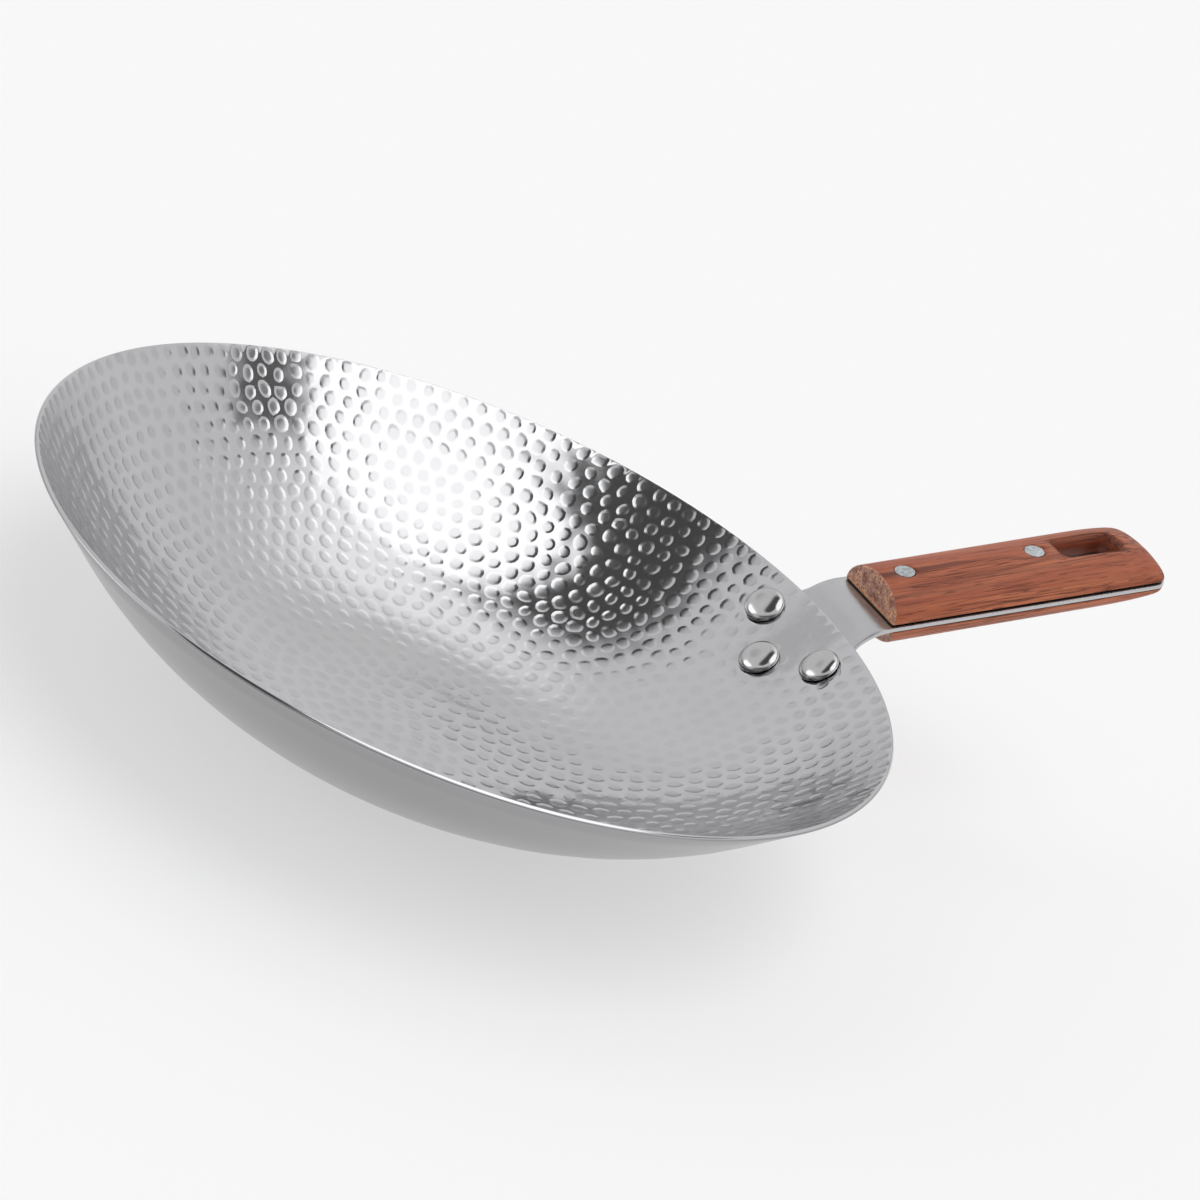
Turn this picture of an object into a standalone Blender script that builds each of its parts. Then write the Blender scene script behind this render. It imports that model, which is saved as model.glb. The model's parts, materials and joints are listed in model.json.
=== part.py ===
"""A hammered steel wok with a small flat base and a wooden handle riveted to its wall.

Units are metres, +Z is up and +X runs along the handle. The origin is the centre of
the base's underside, so the wok stands on Z = 0.
"""

import math

import bmesh
import bpy
from mathutils import Matrix, Vector

# Bowl: one pressed sheet, measured on its outer face
RIM_RADIUS = 0.150
BASE_FLAT_RADIUS = 0.029
LIP_SLOPE = math.radians(46)
LIP_LENGTH = 0.021
SHEET = 0.0015
BOWL_STEPS = 96
WALL_STEPS = 13
SHARP_ANGLE = math.radians(35)

# Clearance between pieces that touch on the real object
SEAT_GAP = 0.0003

# Tang: one flat strip, from the spade end under the wall to the butt
TANG_THICKNESS = 0.0015
RIM_TO_BEND = 0.0047
BEND_RADIUS = 0.020
HANDLE_PITCH = math.radians(17.3)
BEND_TO_SCALES = 0.0019
NECK_HALF_WIDTH = 0.0190
NECK_FILLET = 0.010
SPADE_MARGIN = 0.0088
SPADE_SHOULDER_FILLET = 0.0070
SPADE_TOE_FILLET = 0.0080
TANG_STEP = 0.0035

# Handle in plan: the strip, and how far in from its long edges the wood stays
FRONT_HALF_WIDTH = 0.0178
BUTT_HALF_WIDTH = 0.0192
BUTT_CORNER = 0.0056
SCALE_INSET = 0.0008

# Wooden scales
SCALE_LENGTH = 0.1208
SCALE_FRONT_HEIGHT = 0.0112
SCALE_BUTT_HEIGHT = 0.0104
FRONT_LEAN = 0.20
LEAN_LENGTH = 0.024
BUTT_ROUND_OVER = 0.0320
BUTT_FULLNESS = 2.6
BUTT_EDGE = 0.0018
SCALE_EASE = 0.0007
SCALE_SQUARENESS = 1.97
SECTION_STEPS = 16
BODY_STEPS = 3
BUTT_STEPS = 10

# Hanging slot through the butt
SLOT_LENGTH = 0.0293
SLOT_WIDTH = 0.0135
SLOT_CORNER = 0.0045
SLOT_TO_BUTT = 0.0130

# Pins through the handle
PIN_RADIUS = 0.0038
FRONT_PIN_FROM_FRONT = 0.0130
REAR_PIN_TO_SLOT = 0.0090
PIN_PROUD = 0.0001
PIN_EASE = 0.0004

# Rivets through the wall
RIVET_HEAD_RADIUS = 0.0075
RIVET_HEAD_HEIGHT = 0.0031
RIVET_HEAD_EDGE = 0.0004
RIVET_HEAD_FULLNESS = 2.3
RIVET_HEAD_UNDERCUT = 0.0003
RIVET_SHANK_RADIUS = 0.0026
RIVET_TAIL_RADIUS = 0.0048
RIVET_TAIL_HEIGHT = 0.0018
RIVET_STEPS = 32
HEAD_STEPS = 8
UPPER_RIVETS_TO_RIM = 0.0141
UPPER_RIVETS_HALF_SPACING = 0.0205
LOWER_RIVET_TO_RIM = 0.0294

# Worked out from the sizes above
WALL_ARC_RADIUS = (
    RIM_RADIUS - LIP_LENGTH * math.cos(LIP_SLOPE) - BASE_FLAT_RADIUS
) / math.sin(LIP_SLOPE)
WALL_ARC_LENGTH = WALL_ARC_RADIUS * LIP_SLOPE
RIM_HEIGHT = WALL_ARC_RADIUS * (1 - math.cos(LIP_SLOPE)) + LIP_LENGTH * math.sin(
    LIP_SLOPE
)
BEND_LENGTH = BEND_RADIUS * (LIP_SLOPE - HANDLE_PITCH)
BEND_END = RIM_TO_BEND + BEND_LENGTH
SCALES_START = BEND_END + BEND_TO_SCALES
TANG_END = SCALES_START + SCALE_LENGTH
SLOT_START = SCALE_LENGTH - SLOT_TO_BUTT - SLOT_LENGTH


def clear_scene():
    for obj in list(bpy.data.objects):
        bpy.data.objects.remove(obj, do_unlink=True)


def material(name, color, metallic, roughness):
    made = bpy.data.materials.new(name)
    made.use_nodes = True
    shader = made.node_tree.nodes["Principled BSDF"]
    shader.inputs["Base Color"].default_value = (*color, 1)
    shader.inputs["Metallic"].default_value = metallic
    shader.inputs["Roughness"].default_value = roughness
    return made


def object_from(mesh_builder, name, finish):
    """Turns a bmesh into an object of the scene, with its faces pointing out."""
    bmesh.ops.recalc_face_normals(mesh_builder, faces=mesh_builder.faces)
    mesh = bpy.data.meshes.new(name)
    mesh_builder.to_mesh(mesh)
    mesh_builder.free()
    mesh.shade_smooth()
    mesh.set_sharp_from_angle(angle=SHARP_ANGLE)
    obj = bpy.data.objects.new(name, mesh)
    if finish is not None:
        mesh.materials.append(finish)
    bpy.context.scene.collection.objects.link(obj)
    return obj


def cut(target, cutters):
    for cutter in cutters:
        modifier = target.modifiers.new("cut_" + cutter.name, "BOOLEAN")
        modifier.operation = "DIFFERENCE"
        modifier.solver = "EXACT"
        modifier.object = cutter


def as_cutter(obj):
    obj.hide_render = True
    obj.display_type = "WIRE"
    return obj


def arc(center, radius, start, end, steps):
    """Points of an arc in a plane, from one angle to another, ends included."""
    points = []
    for step in range(steps + 1):
        angle = start + (end - start) * step / steps
        points.append(
            (center[0] + radius * math.cos(angle), center[1] + radius * math.sin(angle))
        )
    return points


def turned(profile, steps):
    """A closed profile of (radius, height) points, spun about Z into one solid."""
    made = bmesh.new()
    verts = [made.verts.new((radius, 0, height)) for radius, height in profile]
    edges = [made.edges.new(pair) for pair in zip(verts, verts[1:])]
    bmesh.ops.spin(
        made,
        geom=verts + edges,
        cent=(0, 0, 0),
        axis=(0, 0, 1),
        angle=math.tau,
        steps=steps,
        use_merge=True,
    )
    bmesh.ops.remove_doubles(made, verts=made.verts, dist=1e-7)
    return made


def wall_point(run, depth=0.0):
    """(radius, height) on the wall's meridian. run is the way along the outer face from
    the rim, negative down the wall, and depth is the distance in from that face."""
    if run >= -LIP_LENGTH:
        slope = LIP_SLOPE
        radius = RIM_RADIUS + run * math.cos(LIP_SLOPE)
        height = RIM_HEIGHT + run * math.sin(LIP_SLOPE)
    else:
        slope = LIP_SLOPE + (run + LIP_LENGTH) / WALL_ARC_RADIUS
        radius = BASE_FLAT_RADIUS + WALL_ARC_RADIUS * math.sin(slope)
        height = WALL_ARC_RADIUS * (1 - math.cos(slope))
    return (
        radius - depth * math.sin(slope),
        height + depth * math.cos(slope),
        slope,
    )


def bowl(finish):
    """The sheet's section runs along its outer face, over the rim and back inside."""
    runs = [
        -LIP_LENGTH - WALL_ARC_LENGTH * (1 - step / WALL_STEPS)
        for step in range(WALL_STEPS + 1)
    ]
    runs += [-LIP_LENGTH / 2, 0]
    outer = [wall_point(run)[:2] for run in runs]
    inner = [wall_point(run, SHEET)[:2] for run in reversed(runs)]
    return object_from(
        turned([(0, 0)] + outer + inner + [(0, SHEET)], BOWL_STEPS), "bowl", finish
    )


def tang_path(run):
    """(distance along X, height, slope) of the tang's upper face at y = 0, where run is
    the way along the strip from the rim."""
    if run <= RIM_TO_BEND:
        return wall_point(run, -SEAT_GAP)
    x, z, slope = wall_point(RIM_TO_BEND, -SEAT_GAP)
    turn = min(run - RIM_TO_BEND, BEND_LENGTH) / BEND_RADIUS
    slope -= turn
    x += BEND_RADIUS * (math.sin(LIP_SLOPE) - math.sin(slope))
    z += BEND_RADIUS * (math.cos(slope) - math.cos(LIP_SLOPE))
    straight = max(run - BEND_END, 0)
    return x + straight * math.cos(slope), z + straight * math.sin(slope), slope


def on_tang(run, across, below):
    """Where a point of the flat strip ends up once the strip is formed. Under the wall
    it is rolled round the bowl, and the roll fades out between the rim and the scales."""
    x, z, slope = tang_path(run)
    fade = min(max(run / BEND_END, 0), 1)
    rolled = 1 - fade * fade * (3 - 2 * fade)
    angle = across / x
    forward = Vector((math.cos(angle * rolled), math.sin(angle * rolled), 0))
    round_bowl = Vector((x * math.cos(angle), x * math.sin(angle), z))
    straight = Vector((x, across, z))
    normal = Vector((0, 0, math.cos(slope))) - forward * math.sin(slope)
    return straight.lerp(round_bowl, rolled) - normal * below


def fillet(corner, before, after, radius, steps=6):
    """Points that round the corner of an outline with an arc of the given radius."""
    corner, before, after = Vector(corner), Vector(before), Vector(after)
    back = (before - corner).normalized()
    on = (after - corner).normalized()
    half = math.acos(max(-1, min(1, back.dot(on)))) / 2
    reach = radius / math.tan(half)
    reach = min(reach, (before - corner).length * 0.49, (after - corner).length * 0.49)
    radius = reach * math.tan(half)
    center = corner + (back + on).normalized() * (radius / math.sin(half))
    first = corner + back * reach - center
    last = corner + on * reach - center
    turn = first.angle_signed(last)
    points = []
    for step in range(steps + 1):
        spoke = first.copy()
        spoke.rotate(Matrix.Rotation(-turn * step / steps, 2))
        points.append(tuple(center + spoke))
    return points


def half_width(along):
    """Half the strip's width, measured back from the front of the scales."""
    share = along / SCALE_LENGTH
    return FRONT_HALF_WIDTH + (BUTT_HALF_WIDTH - FRONT_HALF_WIDTH) * share


def spade_corners():
    """The corners of the spade's outline on one side, with the radius of each. Its sides
    keep a margin round the rivets, so they follow them."""
    upper = Vector((-UPPER_RIVETS_TO_RIM, UPPER_RIVETS_HALF_SPACING))
    lower = Vector((-LOWER_RIVET_TO_RIM, 0))
    side = (upper - lower).normalized()
    outward = Vector((-side.y, side.x)) * SPADE_MARGIN
    top = upper.x + SPADE_MARGIN
    shoulder = upper + outward + side * (top - upper.x - outward.x) / side.x
    toe_run = lower.x - SPADE_MARGIN
    toe = lower + outward + side * (toe_run - lower.x - outward.x) / side.x
    return [
        ((SCALES_START, half_width(0)), NECK_FILLET),
        ((top, NECK_HALF_WIDTH), NECK_FILLET),
        (tuple(shoulder), SPADE_SHOULDER_FILLET),
        (tuple(toe), SPADE_TOE_FILLET),
    ]


def tang_outline():
    """The strip's outline laid flat: (way along from the rim, way across)."""
    corners = [((TANG_END, half_width(SCALE_LENGTH)), BUTT_CORNER)] + spade_corners()
    mirrored = [((run, -across), radius) for (run, across), radius in reversed(corners)]
    ring = corners + mirrored
    points = []
    for index, (corner, radius) in enumerate(ring):
        before = ring[index - 1][0]
        after = ring[(index + 1) % len(ring)][0]
        points += fillet(corner, before, after, radius)
    return points


def tang(finish):
    """The flat blank is scored across and along where it has to curve, given its
    thickness, and then formed to the wall and the bend."""
    made = bmesh.new()
    outline = tang_outline()
    made.faces.new([made.verts.new((run, across, 0)) for run, across in outline])
    first = min(run for run, across in outline)
    scores = math.ceil((SCALES_START - first) / TANG_STEP)
    for step in range(1, scores + 1):
        place = first + (SCALES_START - first) * step / scores
        score(made, (place, 0, 0), (1, 0, 0))
    widest = max(across for run, across in outline)
    lanes = math.ceil(2 * widest / (2 * TANG_STEP))
    for step in range(1, lanes):
        score(made, (0, -widest + 2 * widest * step / lanes, 0), (0, 1, 0))
    top = list(made.faces)
    extruded = bmesh.ops.extrude_face_region(made, geom=top)["geom"]
    sunk = [item for item in extruded if isinstance(item, bmesh.types.BMVert)]
    bmesh.ops.translate(made, verts=sunk, vec=(0, 0, -TANG_THICKNESS))
    for vert in made.verts:
        vert.co = on_tang(vert.co.x, vert.co.y, -vert.co.z)
    return object_from(made, "handle_tang", finish)


def score(made, place, across):
    bmesh.ops.bisect_plane(
        made,
        geom=list(made.verts) + list(made.edges) + list(made.faces),
        dist=1e-7,
        plane_co=place,
        plane_no=across,
    )


def handle_frame():
    """An empty where the scales begin, on the middle of the tang: X along the handle and
    Z square to the tang."""
    x, z, slope = tang_path(SCALES_START)
    frame = bpy.data.objects.new("handle_frame", None)
    frame.location = (
        x + TANG_THICKNESS / 2 * math.sin(slope),
        0,
        z - TANG_THICKNESS / 2 * math.cos(slope),
    )
    frame.rotation_euler = (0, -slope, 0)
    bpy.context.scene.collection.objects.link(frame)
    return frame


def scale_section(half, height):
    """One D-shaped section: a flat face with eased edges under a full, rounded back."""
    flat = min(SCALE_EASE, height / 4, half / 4)
    points = [(-half + flat, 0), (half - flat, 0)]
    for step in range(SECTION_STEPS + 1):
        angle = math.pi * step / SECTION_STEPS
        reach = abs(math.cos(angle)) ** (2 / SCALE_SQUARENESS)
        rise = abs(math.sin(angle)) ** (2 / SCALE_SQUARENESS)
        across = math.copysign(reach, math.cos(angle)) * half
        points.append((across, flat + rise * (height - flat)))
    return points


def rounding(left, length, power=2.0):
    """How full a rounded end still is: 1 before it starts, 0 at its very end."""
    short = min(max(1 - left / length, 0), 1)
    return (1 - short**power) ** (1 / power)


def scale_height(along):
    """The scale's height before its butt is rounded over: it falls a little."""
    share = along / SCALE_LENGTH
    return SCALE_FRONT_HEIGHT + (SCALE_BUTT_HEIGHT - SCALE_FRONT_HEIGHT) * share


def scale(name, frame, side, finish):
    """A grip half: D sections bridged from the leaning front to the rounded butt."""
    body = SCALE_LENGTH - BUTT_ROUND_OVER
    stations = [0, SCALE_EASE, LEAN_LENGTH]
    for step in range(1, BODY_STEPS + 1):
        stations.append(LEAN_LENGTH + (body - LEAN_LENGTH) * step / BODY_STEPS)
    for step in range(1, BUTT_STEPS + 1):
        angle = math.pi / 2 * step / BUTT_STEPS
        stations.append(body + BUTT_ROUND_OVER * math.sin(angle))
    corner = BUTT_CORNER - SCALE_INSET
    made = bmesh.new()
    rings = []
    for along in stations:
        left = SCALE_LENGTH - along
        eased = SCALE_EASE if along == 0 else 0
        half = half_width(along) - SCALE_INSET - corner * (1 - rounding(left, corner))
        full = rounding(left, BUTT_ROUND_OVER, BUTT_FULLNESS)
        rise = (scale_height(along) - BUTT_EDGE) * full + BUTT_EDGE
        section = scale_section(half - eased, rise - eased)
        lean = FRONT_LEAN * max(0, 1 - along / LEAN_LENGTH)
        verts = [made.verts.new((along + lean * up, y, up)) for y, up in section]
        rings.append(verts)
    for verts in rings:
        for pair in zip(verts, verts[1:] + verts[:1]):
            made.edges.new(pair)
    for first, second in zip(rings, rings[1:]):
        between = ring_edges(first) + ring_edges(second)
        bmesh.ops.bridge_loops(made, edges=between)
    made.faces.new(rings[0])
    made.faces.new(rings[-1])
    lift = TANG_THICKNESS / 2 + SEAT_GAP
    bmesh.ops.translate(made, verts=made.verts, vec=(0, 0, lift))
    if side < 0:
        bmesh.ops.scale(made, verts=made.verts, vec=(1, 1, -1))
    obj = object_from(made, name, finish)
    obj.parent = frame
    return obj


def ring_edges(verts):
    members = set(verts)
    return [
        edge
        for edge in {edge for vert in verts for edge in vert.link_edges}
        if edge.verts[0] in members and edge.verts[1] in members
    ]


def slot_cutter(frame):
    corners = [
        (SLOT_LENGTH / 2, SLOT_WIDTH / 2),
        (-SLOT_LENGTH / 2, SLOT_WIDTH / 2),
        (-SLOT_LENGTH / 2, -SLOT_WIDTH / 2),
        (SLOT_LENGTH / 2, -SLOT_WIDTH / 2),
    ]
    made = bmesh.new()
    ring = []
    for index, corner in enumerate(corners):
        before = corners[index - 1]
        after = corners[(index + 1) % len(corners)]
        ring += fillet(corner, before, after, SLOT_CORNER, steps=5)
    reach = TANG_THICKNESS + SCALE_FRONT_HEIGHT * 2
    base = made.faces.new([made.verts.new((x, y, -reach)) for x, y in ring])
    raised = bmesh.ops.extrude_face_region(made, geom=[base])["geom"]
    lifted = [item for item in raised if isinstance(item, bmesh.types.BMVert)]
    bmesh.ops.translate(made, verts=lifted, vec=(0, 0, 2 * reach))
    obj = as_cutter(object_from(made, "slot_cutter", None))
    obj.parent = frame
    obj.location.x = SLOT_START + SLOT_LENGTH / 2
    return obj


def rod(name, radius, low, high, steps=32, finish=None, ease=0.0):
    """A round bar along Z, with its ends eased."""
    profile = [(0, low), (radius - ease, low)]
    if ease:
        profile += [(radius, low + ease), (radius, high - ease)]
        profile += [(radius - ease, high), (0, high)]
    else:
        profile += [(radius, high), (0, high)]
    return object_from(turned(profile, steps), name, finish)


def pins(frame, finish):
    """Each pin goes through both scales and the tang, and stands a hair proud."""
    made = []
    holes = []
    places = [FRONT_PIN_FROM_FRONT, SLOT_START - REAR_PIN_TO_SLOT]
    for name, place in zip(["handle_pin_front", "handle_pin_rear"], places):
        half = TANG_THICKNESS / 2 + SEAT_GAP + scale_height(place) + PIN_PROUD
        pin = rod(name, PIN_RADIUS, -half, half, finish=finish, ease=PIN_EASE)
        reach = half + SCALE_FRONT_HEIGHT
        hole = rod(name + "_hole", PIN_RADIUS + SEAT_GAP, -reach, reach)
        for obj in (pin, as_cutter(hole)):
            obj.parent = frame
            obj.location.x = place
        made.append(pin)
        holes.append(hole)
    return made, holes


def seat_rise(radius, run):
    """How far a flat disc of this radius stands off the hollow wall at its middle."""
    x, z, slope = wall_point(run, SHEET)
    round_wall = x / math.sin(slope)
    tightest = min(round_wall, WALL_ARC_RADIUS - SHEET)
    return radius * radius / (2 * tightest)


def rivet_profile(run):
    """Turned section of a rivet, from its tail's tip up to the crown of its head. Zero is
    the wall's inner face."""
    under_head = seat_rise(RIVET_HEAD_RADIUS, run) + SEAT_GAP
    crown = under_head + RIVET_HEAD_HEIGHT
    edge = under_head + RIVET_HEAD_EDGE
    tail_face = -SHEET - SEAT_GAP - TANG_THICKNESS - SEAT_GAP
    tail_tip = tail_face - RIVET_TAIL_HEIGHT
    tail_dome = (RIVET_TAIL_RADIUS**2 + RIVET_TAIL_HEIGHT**2) / (2 * RIVET_TAIL_HEIGHT)
    lean = math.asin(min(1, RIVET_TAIL_RADIUS / tail_dome))
    tail = arc((0, tail_tip + tail_dome), tail_dome, -math.pi / 2, lean - math.pi / 2, 4)
    head = []
    for step in range(1, HEAD_STEPS):
        angle = math.pi / 2 * step / HEAD_STEPS
        reach = math.cos(angle) ** (2 / RIVET_HEAD_FULLNESS)
        rise = math.sin(angle) ** (2 / RIVET_HEAD_FULLNESS)
        head.append((RIVET_HEAD_RADIUS * reach, edge + (crown - edge) * rise))
    profile = [(0, tail_tip)] + tail[1:]
    profile += [(RIVET_SHANK_RADIUS, tail_face), (RIVET_SHANK_RADIUS, under_head)]
    profile += [(RIVET_HEAD_RADIUS - RIVET_HEAD_UNDERCUT, under_head)]
    profile += [(RIVET_HEAD_RADIUS, edge)] + head + [(0, crown)]
    return profile


def rivet_place(run, across):
    """The wall's frame at a rivet: origin on the inner face, Z square into the bowl."""
    x, z, slope = wall_point(run, SHEET)
    angle = across / wall_point(run)[0]
    turned_to = Matrix.Rotation(angle, 4, "Z")
    return turned_to @ Matrix.Translation((x, 0, z)) @ Matrix.Rotation(-slope, 4, "Y")


def rivets(finish):
    places = {
        "bowl_rivet_left": (-UPPER_RIVETS_TO_RIM, UPPER_RIVETS_HALF_SPACING),
        "bowl_rivet_right": (-UPPER_RIVETS_TO_RIM, -UPPER_RIVETS_HALF_SPACING),
        "bowl_rivet_lower": (-LOWER_RIVET_TO_RIM, 0),
    }
    holes = []
    for name, (run, across) in places.items():
        place = rivet_place(run, across)
        rivet = object_from(turned(rivet_profile(run), RIVET_STEPS), name, finish)
        rivet.matrix_world = place
        reach = SHEET + TANG_THICKNESS + RIVET_TAIL_RADIUS
        hole = rod(name + "_hole", RIVET_SHANK_RADIUS + SEAT_GAP, -reach, reach, 24)
        hole.matrix_world = place
        holes.append(as_cutter(hole))
    return holes


def main():
    clear_scene()
    satin_steel = material("hammered_steel", (0.62, 0.62, 0.63), 1.0, 0.28)
    strip_steel = material("strip_steel", (0.64, 0.64, 0.65), 1.0, 0.30)
    rivet_steel = material("rivet_steel", (0.75, 0.75, 0.75), 1.0, 0.12)
    pin_metal = material("pin_metal", (0.72, 0.75, 0.75), 1.0, 0.35)
    rosewood = material("reddish_wood", (0.45, 0.13, 0.07), 0.0, 0.45)
    frame = handle_frame()
    rivet_holes = rivets(rivet_steel)
    pin_pair, pin_holes = pins(frame, pin_metal)
    slot = slot_cutter(frame)
    cut(bowl(satin_steel), rivet_holes)
    cut(tang(strip_steel), rivet_holes + pin_holes + [slot])
    cut(scale("upper_scale", frame, 1, rosewood), pin_holes + [slot])
    cut(scale("lower_scale", frame, -1, rosewood), pin_holes + [slot])


main()
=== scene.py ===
# %% [markdown]
# # A hammered steel wok with a wooden handle
#
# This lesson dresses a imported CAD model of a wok. The CAD gives every piece its place
# and size. Here each piece is modelled again with the detail that the eye looks for:
# the hammer marks, the bevelled edges of the strip, the grain of the wood.
# Everything is in metres, +Z is up, and +X runs along the handle.

# %% Load the CAD frame
import json
import math
import random

import bmesh
import bpy
from mathutils import Matrix, Vector, noise

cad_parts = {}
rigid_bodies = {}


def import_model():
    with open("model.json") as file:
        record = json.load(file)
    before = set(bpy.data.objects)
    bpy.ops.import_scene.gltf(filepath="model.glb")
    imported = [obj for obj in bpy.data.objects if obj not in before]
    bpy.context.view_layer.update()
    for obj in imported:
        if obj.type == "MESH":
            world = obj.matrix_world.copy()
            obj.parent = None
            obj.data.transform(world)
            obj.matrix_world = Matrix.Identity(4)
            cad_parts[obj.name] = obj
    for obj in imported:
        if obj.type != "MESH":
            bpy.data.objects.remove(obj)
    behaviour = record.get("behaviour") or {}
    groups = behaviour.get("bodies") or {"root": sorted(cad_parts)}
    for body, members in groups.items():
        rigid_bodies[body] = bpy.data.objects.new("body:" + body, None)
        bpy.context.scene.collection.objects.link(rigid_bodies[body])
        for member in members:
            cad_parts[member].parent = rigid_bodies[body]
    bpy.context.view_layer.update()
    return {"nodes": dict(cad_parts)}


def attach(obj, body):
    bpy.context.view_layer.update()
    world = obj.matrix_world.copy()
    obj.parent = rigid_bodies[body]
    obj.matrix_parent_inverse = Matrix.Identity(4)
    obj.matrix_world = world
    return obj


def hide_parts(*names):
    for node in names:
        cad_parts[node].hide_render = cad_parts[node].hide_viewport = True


for leftover in list(bpy.data.objects):
    bpy.data.objects.remove(leftover, do_unlink=True)
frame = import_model()
print("CAD nodes:", ", ".join(sorted(frame["nodes"])))

# %% [markdown]
# ## Sizes
#
# A wok is pressed from one flat disc. Its wall is an arc that leaves a small flat base
# and runs straight for the last stretch up to the rim. The handle is one steel strip
# that lies under the wall, bends over a short radius and carries two wooden scales.
# The same few lengths are used by every piece, so they are named once.

# %% Name the sizes
MM = 0.001
RIM_RADIUS = 150 * MM
BASE_FLAT_RADIUS = 29 * MM
LIP_SLOPE = math.radians(46)
LIP_LENGTH = 21 * MM
SHEET = 1.5 * MM
SEAT_GAP = 0.3 * MM

TANG_THICKNESS = 1.5 * MM
RIM_TO_BEND = 4.7 * MM
BEND_RADIUS = 20 * MM
HANDLE_PITCH = math.radians(17.3)
BEND_TO_SCALES = 1.9 * MM
SCALE_LENGTH = 120.8 * MM
FRONT_HALF_WIDTH = 17.8 * MM
BUTT_HALF_WIDTH = 19.2 * MM
BUTT_CORNER = 5.6 * MM

ARC_RADIUS = (
    RIM_RADIUS - LIP_LENGTH * math.cos(LIP_SLOPE) - BASE_FLAT_RADIUS
) / math.sin(LIP_SLOPE)
ARC_LENGTH = ARC_RADIUS * LIP_SLOPE
RIM_HEIGHT = ARC_RADIUS * (1 - math.cos(LIP_SLOPE)) + LIP_LENGTH * math.sin(LIP_SLOPE)
BLANK_RADIUS = BASE_FLAT_RADIUS + ARC_LENGTH + LIP_LENGTH
BEND_LENGTH = BEND_RADIUS * (LIP_SLOPE - HANDLE_PITCH)
BEND_END = RIM_TO_BEND + BEND_LENGTH
SCALES_START = BEND_END + BEND_TO_SCALES
print(f"the flat disc is {BLANK_RADIUS / MM:.1f} mm in radius")
print(f"the rim stands {RIM_HEIGHT / MM:.1f} mm high")

# %% [markdown]
# ## The curve of the wall
#
# Every point of the disc ends up somewhere on the bowl. If a point is known by its way
# along the sheet and by its depth in the sheet, one function can say where it goes.
# The disc can then be worked flat, which is far easier, and be pressed at the end,
# just as the real one is.


# %% Follow the wall
def wall_point(run, depth=0.0):
    """(radius, height, slope), run being the way up from the rim on the outer face and
    depth the way in from that face."""
    if run >= -LIP_LENGTH:
        slope = LIP_SLOPE
        radius = RIM_RADIUS + run * math.cos(slope)
        height = RIM_HEIGHT + run * math.sin(slope)
    elif run >= -LIP_LENGTH - ARC_LENGTH:
        slope = LIP_SLOPE + (run + LIP_LENGTH) / ARC_RADIUS
        radius = BASE_FLAT_RADIUS + ARC_RADIUS * math.sin(slope)
        height = ARC_RADIUS * (1 - math.cos(slope))
    else:
        slope, radius, height = 0.0, BLANK_RADIUS + run, 0.0
    return radius - depth * math.sin(slope), height + depth * math.cos(slope), slope


def press(made):
    """Presses the disc, in millimetres with its inner face at Z = 0, into the bowl."""
    for vert in made.verts:
        around = math.atan2(vert.co.y, vert.co.x)
        run = vert.co.xy.length * MM - BLANK_RADIUS
        radius, height, slope = wall_point(run, SHEET + vert.co.z * MM)
        vert.co = (radius * math.cos(around), radius * math.sin(around), height)


halfway = wall_point(-BLANK_RADIUS / 2)
print(f"halfway up: {halfway[0] / MM:.1f} mm out, {halfway[1] / MM:.1f} mm high")

# %% [markdown]
# ## Turning a bmesh into a piece
#
# Each piece is modelled in a bmesh, which is Blender's mesh while it is being worked.
# Doubles are merged and the normals are turned outwards before it becomes an object.
# Then the piece takes its material, rides on the CAD body, and stands for its node.

# %% Finish a piece
MERGE = 0.001 * MM


def as_object(made, name, sharp_above=35, finish=None):
    """An object at the origin, whose place is in its mesh."""
    bmesh.ops.remove_doubles(made, verts=made.verts, dist=MERGE)
    bmesh.ops.recalc_face_normals(made, faces=made.faces)
    mesh = bpy.data.meshes.new(name)
    made.to_mesh(mesh)
    made.free()
    mesh.shade_smooth()
    if sharp_above:
        mesh.set_sharp_from_angle(angle=math.radians(sharp_above))
    if finish is not None:
        mesh.materials.append(finish)
    obj = bpy.data.objects.new(name, mesh)
    bpy.context.scene.collection.objects.link(obj)
    return obj


def cut(obj, cutters):
    """Cuts the shapes away from obj, and bakes the result into its mesh."""
    for cutter in cutters:
        modifier = obj.modifiers.new("cut", "BOOLEAN")
        modifier.operation, modifier.solver = "DIFFERENCE", "EXACT"
        modifier.object = cutter
    graph = bpy.context.evaluated_depsgraph_get()
    solid = bpy.data.meshes.new_from_object(obj.evaluated_get(graph))
    obj.modifiers.clear()
    obj.data = solid


def install(obj, node):
    """Puts the piece in the CAD's place."""
    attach(obj, "root")
    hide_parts(node)
    triangles = sum(len(face.vertices) - 2 for face in obj.data.polygons)
    print(f"{obj.name} stands for {node}: {triangles} triangles")


print("pieces can be finished, cut and installed")

# %% [markdown]
# ## Building materials from nodes
#
# A material here is a small network of nodes. Writing one out takes many lines that say
# the same thing, so helpers add a node, set its sockets and wire it at once. A value is
# written on the socket, and a socket of another node is wired to it.


# %% Add and wire nodes
def wire(tree, inputs, sockets):
    """Gives each named or numbered input its value, or a wire from another socket."""
    for key, value in sockets.items():
        if isinstance(value, bpy.types.NodeSocket):
            tree.links.new(value, inputs[key])
        else:
            inputs[key].default_value = value


def put(tree, kind, sockets=None, **settings):
    """One shader node."""
    made = tree.nodes.new("ShaderNode" + kind)
    for name, value in settings.items():
        setattr(made, name, value)
    wire(tree, made.inputs, sockets or {})
    return made


def math_node(tree, operation, *values):
    return put(tree, "Math", dict(enumerate(values)), operation=operation).outputs[0]


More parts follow.
